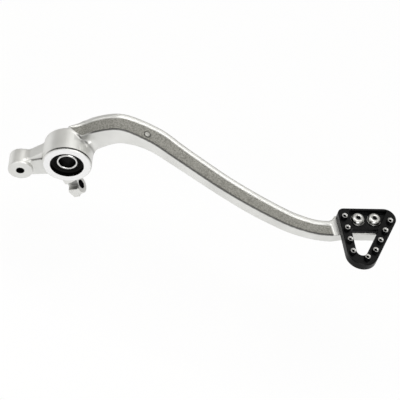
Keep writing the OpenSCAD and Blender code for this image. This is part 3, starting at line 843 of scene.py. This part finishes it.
# Button head: a dome (crown + (head - crown) cos a, skirt + (height - skirt) sin a) up to a flat crown, and
# a hexagon socket
def makeScrew(q, nodeName, k):
    top, half, shank, skirt = q["height"], q["hexHalf"], q["shank"], q["skirt"]
    a = np.radians(np.linspace(0, q["domeEnd"], 12))
    out = q["crown"] + (q["head"] - q["crown"]) * np.cos(a)
    dome = np.stack([out, skirt + (top - skirt) * np.sin(a)], -1)
    profile = [(0.001, -q["length"]), (shank - 0.5, -q["length"]), (shank, 0.5 - q["length"]), (shank, 0),
               (q["head"] - 0.15, 0), (q["head"], 0.15)] + dome.tolist() + [(q["crown"] - 0.1, top)]
    profile += [(half + out, top - down) for out, down in q["cup"]]
    profile += [(half, top - q["socket"]), (0.001, top - q["socket"] - 0.5)]
    last = len(profile)
    piece = turnedSurface(nodeName + "_dressed", profile, q["sides"], (last - 3, last - 2))
    finishPiece(piece, zincSteel, nodeName, "lever")
    # painted shade in the socket
    darkenRows(piece, paintedShadeSteel, q["sides"], last - 3, last)
    seat = plate["floor"] + q["washerT"] + q["gap"]
    return shade(onPlate(piece, *screwSpot(k), seat), 30)


def makeWasher(q, name, k):
    t, c = q["washerT"], q["washerCut"]
    profile = [(q["washerHole"], 0), (q["washer"] - c, 0), (q["washer"], c), (q["washer"], t - c),
               (q["washer"] - c, t), (q["washerHole"] + c, t), (q["washerHole"], t - c)]
    piece = turnedSurface(name, profile, q["sides"])
    return shade(onPlate(piece, *screwSpot(k), plate["floor"]), 30)


# Pivot sleeve and seals, turned about the pivot axis

pivot = {
    "bore": 6.0, "race": 7.5, "half": 7.3, "cut": 0.4, "boreCut": 0.25,
    "sealOut": 11.97, "sealIn": 7.53, "sealLow": 4.03, "sealFace": 7.0,
    # in from the outside and down from the face, then out from the inside and down
    "sealRing": ((0, 0.2), (0.2, 0), (1.1, 0), (1.4, 0.25), (1.7, 0.75)),
    "sealLip": ((1.9, 0.8), (1.5, 0.45), (1.15, 0.3), (0.9, 0.55), (0.6, 0.35), (0.2, 0.12), (0, 0.25)),
}


def makeSleeve(v):
    h, c, b = v["half"], v["cut"], v["boreCut"]
    profile = [(v["bore"], -h + b), (v["bore"] + b, -h), (v["race"] - c, -h), (v["race"], -h + c),
               (v["race"], h - c), (v["race"] - c, h), (v["bore"] + b, h), (v["bore"], h - b)]
    piece = turnedSurface("pivot_sleeve_dressed", profile, 160)
    return shade(layDown(piece), 25)


# Lip seal: flat outer ring, a dished web, and a raised lip with a spring groove round the sleeve
def makeSeal(v, name, side):
    face, low = v["sealFace"], v["sealLow"]
    profile = [(v["sealIn"], low), (v["sealOut"], low)]
    profile += [(v["sealOut"] - inward, face - down) for inward, down in v["sealRing"]]
    profile += [(v["sealIn"] + out, face - down) for out, down in v["sealLip"]]
    piece = turnedSurface(name, profile, 128)
    return shade(layDown(piece, side), 40)


forged = finishPiece(makeForging(boss), satinForging, "lever_arm", "lever")
# painted shade down the pivot seat, the ear's hole and the lug's hole
darkenBore(forged, paintedShadeBore, boss["seat"] + 0.05)
darkenBore(forged, paintedShadeBore, ear["hole"] + 0.05, (ear["x"], ear["z"]))
darkenBore(forged, paintedShadeBore, lug["hole"] + 0.05, (lug["x"], lug["z"]), lug["tilt"], 6)
print("stage: forging made")
finishPiece(makePlate(plate), blackAnodise, "step_plate", "lever")
for number, spot in enumerate(pinPlaces(plate), 1):
    makePin(pin, number, spot)
for k, name in enumerate(("rear", "front")):
    makeScrew(screw, "plate_screw_" + name, k)
    finishPiece(makeWasher(screw, "plate_washer_%s_dressed" % name, k), zincSteel,
                "plate_washer_" + name, "lever")
print("stage: step plate and fasteners made")
sleeve = finishPiece(makeSleeve(pivot), groundSteel, "pivot_sleeve", "pivot")
# painted shade down the sleeve's bore
darkenBore(sleeve, paintedShadeBore, pivot["bore"] + 0.1)
finishPiece(makeSeal(pivot, "seal_outer_dressed", -1), nitrileRubber, "seal_outer", "lever")
finishPiece(makeSeal(pivot, "seal_inner_dressed", 1), nitrileRubber, "seal_inner", "lever")
for name in ("bearing_shell", "bearing_cage", "needle_rollers"):
    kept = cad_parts[name]
    kept.data.materials.clear()
    kept.data.materials.append(bearingSteel)
print("stage: pivot made")


# Studio: pale floor, soft lamps and a pale world that is darker near the horizon

studio = {
    "floorZ": -85.0, "floorSize": 6000.0, "floor": "#F4F4F4", "showWhite": 0.86,
    "world": "#CCCBC8", "horizon": "#8F8E8C",
}
lamps = [
    {"name": "topBox", "at": (0.15, 0.25, 1.3), "size": 1.1, "power": 7.2},
    {"name": "frontBox", "at": (0.35, -1.2, 0.55), "size": 0.9, "power": 7.0},
    {"name": "leftBox", "at": (-1.0, 0.0, 0.75), "size": 0.8, "power": 3.2},
]


# A flat sheet; camera and mirror rays see it mostly as white, so the shadow on it stays faint
def addFloor(s):
    half = s["floorSize"] / 2
    corners = [(-half, -half), (half, -half), (half, half), (-half, half)]
    floor = meshFrom("floor", [(cx, cy, s["floorZ"]) for cx, cy in corners], [[0, 1, 2, 3]])
    mat, tree = emptyMaterial("pale_studio_floor")
    matt = addNode(tree, "ShaderNodeBsdfDiffuse", {"Color": linearColour(s["floor"])})
    white = addNode(tree, "ShaderNodeEmission", {"Color": (1, 1, 1, 1), "Strength": 1.0})
    path = addNode(tree, "ShaderNodeLightPath")
    seen = addNode(tree, "ShaderNodeMath", operation="MAXIMUM",
                   links={0: path.outputs["Is Camera Ray"], 1: path.outputs["Is Glossy Ray"]})
    seen = addNode(tree, "ShaderNodeMath", operation="MAXIMUM",
                   links={0: seen.outputs[0], 1: path.outputs["Is Transmission Ray"]})
    part = addNode(tree, "ShaderNodeMath", {1: s["showWhite"]}, {0: seen.outputs[0]}, operation="MULTIPLY")
    mix = addNode(tree, "ShaderNodeMixShader",
                  links={0: part.outputs[0], 1: matt.outputs[0], 2: white.outputs[0]})
    addNode(tree, "ShaderNodeOutputMaterial", links={"Surface": mix.outputs[0]})
    floor.data.materials.append(mat)


def addWorld(s):
    world = bpy.data.worlds.new("studio")
    bpy.context.scene.world = world
    world.use_nodes = True
    tree = world.node_tree
    tree.nodes.clear()
    coords = addNode(tree, "ShaderNodeTexCoord")
    split = addNode(tree, "ShaderNodeSeparateXYZ", links={0: coords.outputs["Generated"]})
    up = mapRange(tree, split.outputs["Z"], 0.0, 0.75, 0, 1)
    colour = mixColour(tree, up, linearColour(s["horizon"]), linearColour(s["world"]))
    path = addNode(tree, "ShaderNodeLightPath")
    shown = mixColour(tree, path.outputs["Is Camera Ray"], colour, (1, 1, 1, 1))
    sky = addNode(tree, "ShaderNodeBackground", {"Strength": 1.0}, {"Color": shown})
    addNode(tree, "ShaderNodeOutputWorld", links={"Surface": sky.outputs[0]})


def addLamp(v):
    data = bpy.data.lights.new(v["name"], "AREA")
    data.shape, data.size, data.energy = "SQUARE", v["size"], v["power"]
    lamp = bpy.data.objects.new(v["name"], data)
    bpy.context.scene.collection.objects.link(lamp)
    spot = Vector(v["at"])
    aim = Vector(view["target"]) * mm - spot
    lamp.matrix_world = Matrix.Translation(spot) @ aim.to_track_quat("-Z", "Y").to_matrix().to_4x4()


addFloor(studio)
addWorld(studio)
for lamp in lamps:
    addLamp(lamp)
bpy.context.scene.view_settings.view_transform = "Standard"
print("stage: studio lit")
